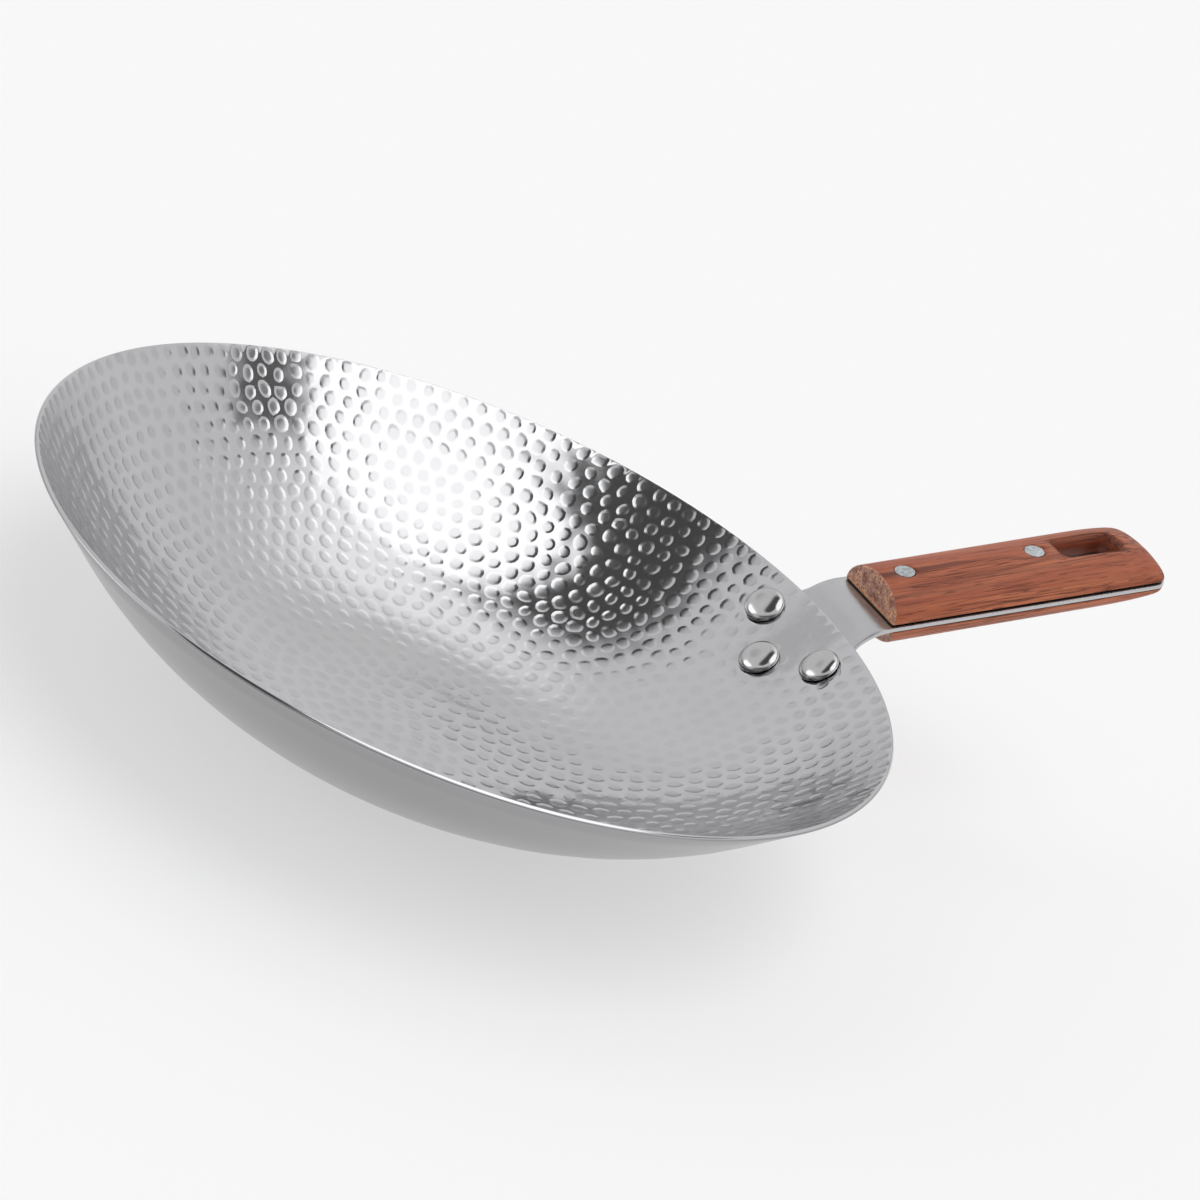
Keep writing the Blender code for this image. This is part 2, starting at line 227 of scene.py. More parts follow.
def remap(tree, value, low, high, first=0.0, last=1.0, course="LINEAR"):
    """A value taken from low to high into first to last, and held beyond them."""
    sockets = {"Value": value, "From Min": low, "From Max": high,
               "To Min": first, "To Max": last}
    return put(tree, "MapRange", sockets, interpolation_type=course).outputs["Result"]


def cloud(tree, vector, scale, detail, distortion=0.0):
    """Soft noise about 0.5."""
    sockets = {"Vector": vector, "Scale": scale, "Detail": detail,
               "Distortion": distortion}
    return put(tree, "TexNoise", sockets).outputs["Fac"]


def dim(tree, color, share):
    """A colour times a share."""
    sockets = {0: color, "Scale": share}
    return put(tree, "VectorMath", sockets, operation="SCALE").outputs["Vector"]


def blend(tree, factor, first, second):
    """Two colours mixed by a factor."""
    sockets = {0: factor, 6: first, 7: second}
    return put(tree, "Mix", sockets, data_type="RGBA").outputs[2]


print("nodes can be added and wired")


# %% Start groups and materials
def new_group(name, inputs, outputs):
    """An empty group. A socket is a name and a type, and an input has a default."""
    tree = bpy.data.node_groups.new(name, "ShaderNodeTree")
    for label, kind, default in inputs:
        made = tree.interface.new_socket(label, in_out="INPUT",
                                         socket_type="NodeSocket" + kind)
        made.default_value = default
    for label, kind in outputs:
        tree.interface.new_socket(label, in_out="OUTPUT",
                                  socket_type="NodeSocket" + kind)
    start = tree.nodes.new("NodeGroupInput").outputs
    end = tree.nodes.new("NodeGroupOutput").inputs
    return tree, start, end


def new_material(name):
    """A material, its tree and its shader."""
    material = bpy.data.materials.new(name)
    material.use_nodes = True
    tree = material.node_tree
    return material, tree, tree.nodes["Principled BSDF"]


print("groups and materials can be started")

# %% [markdown]
# ## The studio
#
# Polished metal has no colour of its own to show: it shows the room. So the room comes
# first. It is a pale room, a little darker towards the floor, with one large soft box
# over the wok and a window to the left. Black screens beside the box draw the dark
# patches in the steel, and a duller card dims its bottom. All of them are cards on the
# ceiling, and a card is placed by where it would be on a ceiling one unit up. Where two
# overlap, the later one shows.

# %% Describe one card on the ceiling
CARD_SQUARENESS = 3.0


def ceiling_card_group():
    tree, start, end = new_group(
        "ceiling_card",
        [
            ("Ceiling", "Vector", (0, 0, 0)),
            ("Centre", "Vector", (0, 0, 0)),
            ("Turn", "Vector", (0, 0, 0)),
            ("Half Size", "Vector", (1, 1, 1)),
            ("Softness", "Float", 0.1),
        ],
        [("Mask", "Float")],
    )
    sockets = {"Vector": start["Ceiling"], "Location": start["Centre"],
               "Rotation": start["Turn"], "Scale": start["Half Size"]}
    local = put(tree, "Mapping", sockets, vector_type="TEXTURE")
    apart = put(tree, "SeparateXYZ", {0: local.outputs[0]}).outputs
    reach = [
        math_node(tree, "POWER", math_node(tree, "ABSOLUTE", apart[side]),
                  CARD_SQUARENESS)
        for side in ("X", "Y")
    ]
    away = math_node(tree, "POWER", math_node(tree, "ADD", *reach), 1 / CARD_SQUARENESS)
    low = math_node(tree, "SUBTRACT", 1.0, start["Softness"])
    high = math_node(tree, "ADD", 1.0, start["Softness"])
    wire(tree, end, {"Mask": remap(tree, away, low, high, 1.0, 0.0, "SMOOTHSTEP")})
    return tree


ceiling_card = ceiling_card_group()
print("a card has the inputs", [s.name for s in ceiling_card.interface.items_tree][1:])

# %% Light the room
WALL_GREY, WALL_BLUENESS = 0.85, 1.01
# the walls keep a share of their grey at the floor, and all of it above a height
SHARE_AT_FLOOR, DIM_UP_TO, WHOLE_FROM = 0.72, 0.03, 0.33
LOWEST_VIEW = 0.02
CARDS = [
    # centre, half size, turn in degrees, softness, brightness
    ((0.42, 0.22), (0.30, 0.55), -20, 0.70, 1.38),
    ((-3.10, -4.40), (4.00, 3.60), -35, 0.22, 0.13),
    ((-0.445, 0.095), (0.66, 0.36), 20, 0.22, 0.09),
    ((-0.62, 1.15), (0.20, 0.24), 0, 0.60, 0.66),
    ((-3.40, 2.10), (0.90, 2.00), 58, 0.20, 2.50),
    ((0.77, 1.42), (0.34, 0.85), 12, 0.60, 0.80),
    ((0.152, -0.326), (0.43, 0.55), 25, 0.09, 1.85),
    ((0.88, -0.40), (0.22, 0.14), 20, 0.35, 0.13),
]

world = bpy.data.worlds.new("studio")
world.use_nodes = True
bpy.context.scene.world = world
room = world.node_tree
room.nodes.clear()
towards = put(room, "TexCoord").outputs["Generated"]
split = put(room, "SeparateXYZ", {0: towards}).outputs
height = math_node(room, "MAXIMUM", split["Z"], LOWEST_VIEW)
sockets = {side: math_node(room, "DIVIDE", split[side], height) for side in ("X", "Y")}
ceiling = put(room, "CombineXYZ", sockets).outputs[0]
walls = remap(room, split["Z"], DIM_UP_TO, WHOLE_FROM, SHARE_AT_FLOOR, 1.0)
glow = dim(room, (WALL_GREY, WALL_GREY, WALL_GREY * WALL_BLUENESS), walls)
for centre, half, turn, softness, brightness in CARDS:
    sockets = {"Ceiling": ceiling, "Centre": (*centre, 0), "Half Size": (*half, 1),
               "Turn": (0, 0, math.radians(turn)), "Softness": softness}
    mask = put(room, "Group", sockets, node_tree=ceiling_card).outputs["Mask"]
    glow = blend(room, mask, glow, (brightness, brightness, brightness, 1))
lit = put(room, "Background", {"Color": glow, "Strength": 1.0})
put(room, "OutputWorld", {"Surface": lit.outputs[0]})
bpy.context.scene.view_settings.view_transform = "Standard"
print(len(CARDS), "cards on the ceiling")

# %% [markdown]
# ## Floor and camera
#
# The floor is a plain pale disc, wide enough to fill every view. It adds a share of
# white to what the camera and the mirrors see, as a sheet of lit paper does, and its
# shadow stays. The camera is where the photographer's was: a long lens, a little above
# the rim, and rolled, so that the wok lies across the picture. Aiming a camera is
# easiest with two points and a roll.

# %% Lay the floor
FLOOR_RADIUS = 14
FLOOR_COLOR = (0.94, 0.94, 0.94, 1)
PAPER_WHITE = 0.5

made = bmesh.new()
bmesh.ops.create_circle(made, cap_ends=True, segments=64, radius=FLOOR_RADIUS)
floor_mesh = bpy.data.meshes.new("floor")
made.to_mesh(floor_mesh)
made.free()
floor = bpy.data.objects.new("floor", floor_mesh)
bpy.context.scene.collection.objects.link(floor)
pale, tree, shader = new_material("pale_floor")
wire(tree, shader.inputs,
     {"Base Color": FLOOR_COLOR, "Roughness": 1.0, "Specular IOR Level": 0.0})
rays = put(tree, "LightPath").outputs
seen = math_node(tree, "MAXIMUM", rays["Is Camera Ray"], rays["Is Glossy Ray"])
seen = math_node(tree, "MAXIMUM", seen, rays["Is Transmission Ray"])
paper = put(tree, "Emission", {"Color": (1, 1, 1, 1), "Strength": 1.0})
both = put(tree, "MixShader", {0: math_node(tree, "MULTIPLY", seen, PAPER_WHITE),
                               1: shader.outputs[0], 2: paper.outputs[0]})
wire(tree, tree.nodes["Material Output"].inputs, {"Surface": both.outputs[0]})
floor_mesh.materials.append(pale)
print("floor is", floor.dimensions.x, "m across")

# %% Aim the camera
CAMERA_PLACE = Vector((-0.4955, -0.6998, 0.4242))
CAMERA_AIM = Vector((0.0439, -0.0099, 0.0603))
CAMERA_ROLL = math.radians(24.64)

lens = bpy.data.cameras.new("camera")
lens.lens, lens.sensor_width = 85, 36
lens.clip_start = 0.01
camera = bpy.data.objects.new("camera", lens)
bpy.context.scene.collection.objects.link(camera)
level = (CAMERA_AIM - CAMERA_PLACE).to_track_quat("-Z", "Y").to_matrix()
rolled = (level @ Matrix.Rotation(CAMERA_ROLL, 3, "Z")).to_4x4()
camera.matrix_world = Matrix.Translation(CAMERA_PLACE) @ rolled
bpy.context.scene.camera = camera
print(f"the camera is {(CAMERA_AIM - CAMERA_PLACE).length:.2f} m away")

# %% [markdown]
# ## Steel
#
# Stainless steel is a grey metal, and what makes it look like steel is how evenly it
# blurs the room. A wok is rubbed, so its roughness wanders a little from place to
# place, and its grey is not quite even. One group gives both, and each steel piece
# uses it with its own numbers. The bowl's one sheet has three surfaces: polished
# ridges, hammer marks that the polishing wheel can't reach, and a duller outside,
# whose darker grey is painted shade that stands in for the shadowed floor it mirrors.
# Its mesh will say which is which in two attributes, and the material reads them.

# %% Make the rubbed-metal group
RUB_SCALE = 35.0
SKIN = [("Color", "Color"), ("Roughness", "Float"), ("Height", "Float")]


def rubbed_metal_group():
    tree, start, end = new_group(
        "rubbed_metal",
        [
            ("Vector", "Vector", (0, 0, 0)),
            ("Color", "Color", (0.65, 0.65, 0.66, 1)),
            ("Roughness", "Float", 0.2),
            ("Unevenness", "Float", 0.04),
            ("Grain Size", "Float", 900.0),
            ("Mottling", "Float", 0.06),
        ],
        SKIN,
    )
    broad = cloud(tree, start["Vector"], RUB_SCALE, 3.0)
    fine = cloud(tree, start["Vector"], start["Grain Size"], 2.0)
    wander = math_node(tree, "SUBTRACT", broad, 0.5)
    speck = math_node(tree, "SUBTRACT", fine, 0.5)
    both = math_node(tree, "ADD", wander, speck)
    rough = math_node(tree, "MULTIPLY_ADD", both, start["Unevenness"],
                      start["Roughness"])
    shade = math_node(tree, "MULTIPLY_ADD", both, start["Mottling"], 1.0)
    color = dim(tree, start["Color"], shade)
    wire(tree, end, {"Color": color, "Roughness": rough, "Height": fine})
    return tree


rubbed_metal = rubbed_metal_group()
print("the group gives", [s.name for s in rubbed_metal.interface.items_tree][:3])

# %% Mix the steels
RELIEF = 0.1 * MM
# by attribute: the share of the colour that is kept, the roughness that is added.
# The outside's kept share is painted shade, for the shadowed floor that it mirrors.
BOWL_FINISHES_AND_SHADE = {"struck": (0.89, 0.08), "outside": (0.69, 0.12)}


def steel(name, color, roughness, unevenness=0.04, grain=900.0, bump=0.02,
          mottling=0.06, finishes_and_shade=None):
    """A metal whose colour and roughness come from the rubbed-metal group."""
    material, tree, shader = new_material(name)
    sockets = {"Vector": put(tree, "TexCoord").outputs["Object"], "Color": (*color, 1),
               "Roughness": roughness, "Unevenness": unevenness, "Grain Size": grain,
               "Mottling": mottling}
    skin = put(tree, "Group", sockets, node_tree=rubbed_metal).outputs
    color, rough = skin["Color"], skin["Roughness"]
    # each layer darkens and roughens the steel where it lies; the outside's darkening
    # is painted shade
    for layer, (kept, added) in (finishes_and_shade or {}).items():
        share = put(tree, "Attribute", attribute_name=layer).outputs["Fac"]
        color = blend(tree, share, color, dim(tree, color, kept))
        rough = math_node(tree, "MULTIPLY_ADD", share, added, rough)
    relief = put(tree, "Bump", {"Height": skin["Height"], "Strength": bump,
                                "Distance": RELIEF}).outputs["Normal"]
    wire(tree, shader.inputs, {"Metallic": 1.0, "Base Color": color,
                               "Roughness": rough, "Normal": relief})
    return material


bowl_steel = steel("hammered_steel", (0.55, 0.55, 0.56), 0.11, finishes_and_shade=BOWL_FINISHES_AND_SHADE)
strip_steel = steel("strip_steel", (0.53, 0.53, 0.54), 0.27, 0.03, 250.0, bump=0.0)
rivet_steel = steel("polished_rivet", (0.50, 0.50, 0.50), 0.13, 0.03, mottling=0.15)
pin_steel = steel("pin_metal", (0.47, 0.50, 0.51), 0.42, 0.20, 700.0, 0.25, 1.6)
print("steels:", [m.name for m in (bowl_steel, strip_steel, rivet_steel, pin_steel)])

# %% [markdown]
# ## The hammered bowl, step 1: where the blows fall
#
# The maker hammers the disc in rough rings from the rim inwards, so the marks follow
# rings and neighbouring rings are out of step. Nearly two thousand marks can't be
# placed by hand. A net is made instead, with one knot for each blow: a circle for each
# ring, bridged to the next. Each knot is then pushed a little at random, because no
# hand is even, and the net's threads are turned to the shorter way across. Plain noise,
# read at two places far apart, gives the slow drift, because noise_vector starts
# somewhere else each time Blender does, and the marks would move with it.
# The disc is worked in millimetres, because beautify_fill compares areas, and in
# metres these are too small for it.

# %% Knot the net of blows
DISC = BLANK_RADIUS / MM
FIRST_RING_TO_RIM = 3.3
RING_GAP = 6.6
LAST_RING = 1.5 * RING_GAP
RIM_PITCH, MIDDLE_PITCH = 7.9, 7.3
chance = random.Random(7)


def circle_edges(made, radius, count, turn):
    """The points and edges of a new circle."""
    ring = bmesh.ops.create_circle(made, cap_ends=False, segments=count, radius=radius,
                                   matrix=Matrix.Rotation(turn, 4, "Z"))["verts"]
    members = set(ring)
    return ring, [edge for edge in made.edges if set(edge.verts) <= members]


def net_of_blows():
    """A flat net with a knot for each blow. Its outermost knots are spare."""
    made = bmesh.new()
    spare_radius = DISC + FIRST_RING_TO_RIM
    radii = [spare_radius, spare_radius - 2 * FIRST_RING_TO_RIM]
    while radii[-1] > LAST_RING:
        radii.append(radii[-1] - RING_GAP)
    for index, radius in enumerate(radii):
        if index != 1:  # the second circle matches the spare one, knot for knot
            inwards = min(1, (DISC - radius) / (DISC / 2))
            pitch = RIM_PITCH + (MIDDLE_PITCH - RIM_PITCH) * inwards
            count = round(math.tau * radius / pitch)
            turn = chance.uniform(0, math.tau)
        ring, edges = circle_edges(made, radius, count, turn)
        if index == 0:
            spare = ring
        else:
            bmesh.ops.bridge_loops(made, edges=outer_edges + edges)
        outer_edges = edges
    middle = made.faces.new(sorted(ring, key=lambda v: math.atan2(v.co.y, v.co.x)))
    bmesh.ops.poke(made, faces=[middle])
    bmesh.ops.triangulate(made, faces=made.faces)
    return made, spare


made, spare = net_of_blows()
print(len(made.verts) - len(spare), "blows")

# %% Let the hand wander
HAND_ERROR = 1.10
DRIFT, DRIFT_SCALE = 2.0, 0.028
APART = Vector((19.7, 5.3, 8.9))

spare_knots = set(spare)
knots = [vert for vert in made.verts if vert not in spare_knots]
for vert in knots:
    place = vert.co * DRIFT_SCALE
    slow = DRIFT * Vector((noise.noise(place), noise.noise(place + APART)))
    angle, push = chance.uniform(0, math.tau), HAND_ERROR * math.sqrt(chance.random())
    vert.co.x += slow.x + push * math.cos(angle)
    vert.co.y += slow.y + push * math.sin(angle)
threads = [edge for edge in made.edges if not edge.is_boundary]
bmesh.ops.beautify_fill(made, faces=made.faces, edges=threads, method="AREA")
print(len(threads), "threads")

# %% [markdown]
# ## Step 2: a patch of sheet for each blow
#
# Each blow needs its own patch of sheet, that is the cell around its knot. The cells
# are the net turned inside out: put a point in each triangle, turn every old thread so
# that it joins two of those points, and take the old knots away. Three operators do
# it, and no list of faces is worked out by hand.

# %% Turn the net into cells
threads = [edge for edge in made.edges if not edge.is_boundary]
bmesh.ops.poke(made, faces=made.faces)
bmesh.ops.rotate_edges(made, edges=threads)
bmesh.ops.dissolve_verts(made, verts=knots)
bmesh.ops.delete(made, geom=spare, context="VERTS")
bmesh.ops.bisect_edges(made, edges=made.edges, cuts=1)
for vert in made.verts:
    if vert.is_boundary:
        vert.co.xy *= DISC / vert.co.xy.length
cells = list(made.faces)
corners = [len(cell.verts) for cell in cells]
print(len(cells), "cells with", min(corners), "to", max(corners), "corners")

# %% [markdown]
# ## Step 3: strike each patch
#
# A blow leaves a shallow oval hollow with a clear edge, and a thin ridge of sheet
# stays between the hollows. Each cell is inset twice, and each new ring is set on a
# smaller oval. The first one stays level and makes the edge, the second one goes down,
# and its middle is poked down the rest of the way. Where the handle's strip lies under
# the wall the sheet gives less, and in the bottom and where the ladle rubs most the
# marks are worn, so they are faint there. Last, the whole sheet is made to wave a
# little, because no hammered sheet is true between its marks.

# %% Weigh each blow
# the share of its depth that a mark loses
LOST_OVER_STRIP, LOST_AT_NECK, LOST_WHERE_WORN, LOST_IN_BOTTOM = 0.55, 0.7, 0.65, 0.5
# the middle of the worn place, in millimetres on the flat disc like all places here
WORN_X, WORN_Y = 100, -8


def ramp(value, none, whole):
    """0 at none, 1 at whole, and even between them."""
    return min(max((value - none) / (whole - none), 0), 1)


def strength(place):
    """How deep a blow goes: 1 in open sheet, less over the strip and where it wears."""
    over_strip = ramp(place.x, 121, 131) * ramp(abs(place.y), 34, 24)
    at_neck = ramp(place.x, 143, 151) * ramp(abs(place.y), 26, 21)
    worn = ramp(math.hypot(place.x - WORN_X, place.y - WORN_Y), 50, 24)
    low = ramp(place.length, 100, 50)
    return ((1 - LOST_OVER_STRIP * over_strip) * (1 - LOST_AT_NECK * at_neck)
            * (1 - LOST_WHERE_WORN * worn) * (1 - LOST_IN_BOTTOM * low))


print(f"a blow in the middle has {strength(Vector((0, 0))):.2f} of its depth")

# %% Strike the ovals
OVAL_LENGTH, OVAL_WIDTH = 3.55, 2.85
TURN_ERROR = math.radians(28)
SIZES, STRETCHES, DEPTHS = (0.80, 1.12), (0.92, 1.06), (0.8, 1.2)
MARK_DEPTH = 0.23
WAVE_HEIGHT, WAVE_SCALE, CALM_EDGE = 0.10, 0.11, 5
ANY_INSET = 0.2
# share of the oval, share of the depth, nearest the cell's border it may come
OVAL_RINGS = [(1.00, 0.0, 0.90), (0.60, 0.64, 0.55)]


def oval_reach(direction, turn, length, width):
    angle = math.atan2(direction.y, direction.x) - turn
    return 1 / math.hypot(math.cos(angle) / length, math.sin(angle) / width)


def strike(made, cells):
    struck = made.verts.layers.float.new("struck")
    middles = [cell.calc_center_median_weighted() for cell in cells]
    marks = []
    for middle in middles:
        turn = math.atan2(middle.y, middle.x) + chance.gauss(0, TURN_ERROR)
        size, stretch = chance.uniform(*SIZES), chance.uniform(*STRETCHES)
        marks.append((turn, OVAL_LENGTH * size * stretch, OVAL_WIDTH * size / stretch,
                      MARK_DEPTH * strength(middle) * chance.uniform(*DEPTHS)))
    borders = [[vert.co.copy() for vert in cell.verts] for cell in cells]
    for share, sink, nearest in OVAL_RINGS:
        bmesh.ops.inset_individual(made, faces=cells, thickness=ANY_INSET)
        for cell, middle, mark, border in zip(cells, middles, marks, borders):
            *oval, depth = mark
            for vert, outside in zip(cell.verts, border):
                away = (outside - middle).xy
                reach = min(share * oval_reach(away, *oval), away.length * nearest)
                vert.co.xy = middle.xy + away.normalized() * reach
                vert.co.z = -depth * sink
                vert[struck] = depth / MARK_DEPTH if sink else 0.0
            if not sink:
                for line in cell.edges:
                    line.smooth = False
    floors = bmesh.ops.poke(made, faces=cells)["verts"]
    for vert, (*_, depth) in zip(floors, marks):
        vert.co.z = -depth
        vert[struck] = depth / MARK_DEPTH
    for vert in made.verts:
        inside = min(1, (DISC - vert.co.xy.length) / CALM_EDGE)
        wave = noise.noise(vert.co.xy.to_3d() * WAVE_SCALE)
        vert.co.z += WAVE_HEIGHT * inside * wave


strike(made, cells)
print("deepest mark:", round(-min(v.co.z for v in made.verts), 2), "mm")

# %% [markdown]
# ## Step 4: the edge and the outside
#
# So far there is only the inner skin. The sheet's thickness starts at the rim: its
# boundary is extruded round a small half round, and then inwards along the underside,
# ring by ring, down to the base. Worked flat, each step is only a scale and a move.
# The last step presses the whole disc into the bowl.

# %% Roll the edge and lay the underside
EDGE_ROUND, EDGE_STEPS = 0.22, 6
THICK = SHEET / MM
LIP, ARC, BASE = LIP_LENGTH / MM, ARC_LENGTH / MM, BASE_FLAT_RADIUS / MM
ARC_RINGS = 13
OUTER_SKIN = 0.5 - THICK


def only(kind, items):
    """The items of one kind among those that an operator gives back."""
    return [item for item in items if isinstance(item, kind)]


def even(first, last, steps):
    """The ends of equal steps from first to last."""
    return [first + (last - first) * step / steps for step in range(1, steps + 1)]


def next_ring(made, edges, radius, height):
    """Extrudes the loop to a circle of this radius at this height."""
    grown = bmesh.ops.extrude_edge_only(made, edges=edges)["geom"]
    for vert in only(bmesh.types.BMVert, grown):
        vert.co.xy *= radius / vert.co.xy.length
        vert.co.z = height
    return only(bmesh.types.BMEdge, grown)


edge = [e for e in made.edges if e.is_boundary]
for vert in {v for e in edge for v in e.verts}:
    vert.co.xy *= (DISC - EDGE_ROUND) / vert.co.xy.length
for angle in even(0, math.pi, EDGE_STEPS):
    edge = next_ring(made, edge, DISC - EDGE_ROUND * (1 - math.sin(angle)),
                     -THICK / 2 * (1 - math.cos(angle)))
radii = [DISC - LIP / 2, DISC - LIP]
radii += [BASE + ARC * (1 - step / ARC_RINGS) for step in range(1, ARC_RINGS + 1)]
radii += [BASE - 0.5, BASE / 2]
for radius in radii:
    edge = next_ring(made, edge, radius, -THICK)
bmesh.ops.edgeloop_fill(made, edges=edge)
# the outside's layer: a duller finish, and a darker grey that is painted shade of the
# shadowed floor that the outside mirrors
outside = made.verts.layers.float.new("outside")
for vert in made.verts:
    vert[outside] = 0.0 if vert.co.z > OUTER_SKIN else 1.0
press(made)
bowl = as_object(made, "hammered_bowl", None, bowl_steel)
print("bowl:", len(bowl.data.polygons), "faces")

# %% [markdown]
# ## The strip under the wall
#
# The handle's strip is cut flat: a spade that holds three rivets, a narrow neck, and a
# long tail as wide as the wood. Its outline is a short list of corners, each rounded
# by its own radius. Cuts across and along give it the joints it needs to curve, then
# it gets its thickness, a small bevel along its edges, and last its form.

# %% Draw the strip's outline
SPADE_MARGIN = 8.8 * MM
NECK_HALF_WIDTH = 19 * MM
FRONT_CORNER, NECK_CORNER = 10 * MM, 10 * MM
SHOULDER_CORNER, TOE_CORNER = 7 * MM, 8 * MM
UPPER_RIVETS = (-14.1 * MM, 20.5 * MM)
LOWER_RIVET = (-29.4 * MM, 0.0)


def fillet(corner, before, after, radius, steps=10):
    """Points that round a corner of an outline."""
    corner, before, after = Vector(corner), Vector(before), Vector(after)
    back, on = (before - corner).normalized(), (after - corner).normalized()
    half = math.acos(max(-1, min(1, back.dot(on)))) / 2
    reach = min(radius / math.tan(half), (before - corner).length * 0.49,
                (after - corner).length * 0.49)
    radius = reach * math.tan(half)
    center = corner + (back + on).normalized() * (radius / math.sin(half))
    first, last = corner + back * reach - center, corner + on * reach - center
    turn = first.angle_signed(last)
    return [center + Matrix.Rotation(-turn * step / steps, 2) @ first
            for step in range(steps + 1)]


def half_width(along):
    share = along / SCALE_LENGTH
    return FRONT_HALF_WIDTH + (BUTT_HALF_WIDTH - FRONT_HALF_WIDTH) * share


def strip_outline():
    """The flat strip's outline, as (way up from the rim, way to the left)."""
    upper, lower = Vector(UPPER_RIVETS), Vector(LOWER_RIVET)
    side = (upper - lower).normalized()
    outward = Vector((-side.y, side.x)) * SPADE_MARGIN
    top, bottom = upper.x + SPADE_MARGIN, lower.x - SPADE_MARGIN
    shoulder = upper + outward + side * (top - upper.x - outward.x) / side.x
    toe = lower + outward + side * (bottom - lower.x - outward.x) / side.x
    corners = [
        ((SCALES_START + SCALE_LENGTH, half_width(SCALE_LENGTH)), BUTT_CORNER),
        ((SCALES_START, half_width(0)), FRONT_CORNER),
        ((top, NECK_HALF_WIDTH), NECK_CORNER),
        (tuple(shoulder), SHOULDER_CORNER),
        (tuple(toe), TOE_CORNER),
    ]
    ring = corners + [((run, -across), r) for (run, across), r in reversed(corners)]
    points = []
    for index, (corner, radius) in enumerate(ring):
        after = ring[(index + 1) % len(ring)][0]
        points += fillet(corner, ring[index - 1][0], after, radius)
    return points


outline = strip_outline()
print("the strip's outline has", len(outline), "points")


# %% Follow the strip
def strip_path(run):
    """(distance along X, height, slope) on the middle of the strip's upper face."""
    if run <= RIM_TO_BEND:
        return wall_point(run, -SEAT_GAP)
    x, z, slope = wall_point(RIM_TO_BEND, -SEAT_GAP)
    slope -= min(run - RIM_TO_BEND, BEND_LENGTH) / BEND_RADIUS
    x += BEND_RADIUS * (math.sin(LIP_SLOPE) - math.sin(slope))
    z += BEND_RADIUS * (math.cos(slope) - math.cos(LIP_SLOPE))
    straight = max(run - BEND_END, 0)
    return x + straight * math.cos(slope), z + straight * math.sin(slope), slope


def on_strip(run, across, below):
    """Where a point of the flat strip goes when it is formed: it is rolled round the
    bowl under the wall, and flat again by the end of the bend."""
    x, z, slope = strip_path(run)
    fade = min(max(run / BEND_END, 0), 1)
    rolled = 1 - fade * fade * (3 - 2 * fade)
    angle = across / x
    forward = Vector((math.cos(angle * rolled), math.sin(angle * rolled), 0))
    round_bowl = Vector((x * math.cos(angle), x * math.sin(angle), z))
    normal = Vector((0, 0, math.cos(slope))) - forward * math.sin(slope)
    return Vector((x, across, z)).lerp(round_bowl, rolled) - normal * below


print("the bend ends at", [round(v / MM, 1) for v in on_strip(BEND_END, 0, 0)], "mm")

# %% Form the strip
SCORES_ACROSS, SCORES_ALONG, SCORE_GAP = 44, 7, 4
STRIP_BEVEL = 0.25 * MM
SQUARE = math.radians(80)


def score(made, place, across):
    """Divides every face that a plane meets."""
    bmesh.ops.bisect_plane(made, geom=made.verts[:] + made.edges[:] + made.faces[:],
                           dist=1e-7, plane_co=place, plane_no=across)


def extrude(made, faces, rise):
    grown = bmesh.ops.extrude_face_region(made, geom=faces)["geom"]
    bmesh.ops.translate(made, verts=only(bmesh.types.BMVert, grown), vec=(0, 0, rise))


made = bmesh.new()
made.faces.new([made.verts.new((run, across, 0)) for run, across in outline])
first = min(run for run, across in outline)
for run in even(first, SCALES_START, SCORES_ACROSS):
    score(made, (run, 0, 0), (1, 0, 0))
for step in range(-SCORES_ALONG, SCORES_ALONG + 1):
    score(made, (0, step * SCORE_GAP * MM, 0), (0, 1, 0))
extrude(made, made.faces[:], -TANG_THICKNESS)
bmesh.ops.recalc_face_normals(made, faces=made.faces)
rims = [e for e in made.edges if e.calc_face_angle(0) > SQUARE
        and abs(e.verts[0].co.z - e.verts[1].co.z) < MERGE]
bmesh.ops.bevel(made, geom=rims, offset=STRIP_BEVEL, segments=2, affect="EDGES",
                profile=0.5, material=-1)
for vert in made.verts:
    vert.co = on_strip(vert.co.x, vert.co.y, -vert.co.z)
strip = as_object(made, "handle_strip", 35, strip_steel)
print("strip:", len(strip.data.polygons), "faces")

# %% [markdown]
# ## The handle's own frame
#
# The wood, the pins and the hanging slot all belong to the straight part of the strip.
# They are modelled lying flat, with X along the handle, and one matrix carries each to
# its place. The wood's grain will use the same matrix, so it always runs lengthwise.

# %% Find the handle's frame
x, z, slope = strip_path(SCALES_START)
half = TANG_THICKNESS / 2
start = (x + half * math.sin(slope), 0, z - half * math.cos(slope))
handle = Matrix.Translation(start) @ Matrix.Rotation(-slope, 4, "Y")
print("the wood starts at", [round(v / MM, 1) for v in start], "mm")

# %% [markdown]
# ## Wood
#
# The scales are a reddish hardwood with long, slightly wavy lines, darker streaks and
# fine open pores, all running along the handle. Stretching one noise along X does most
# of it.


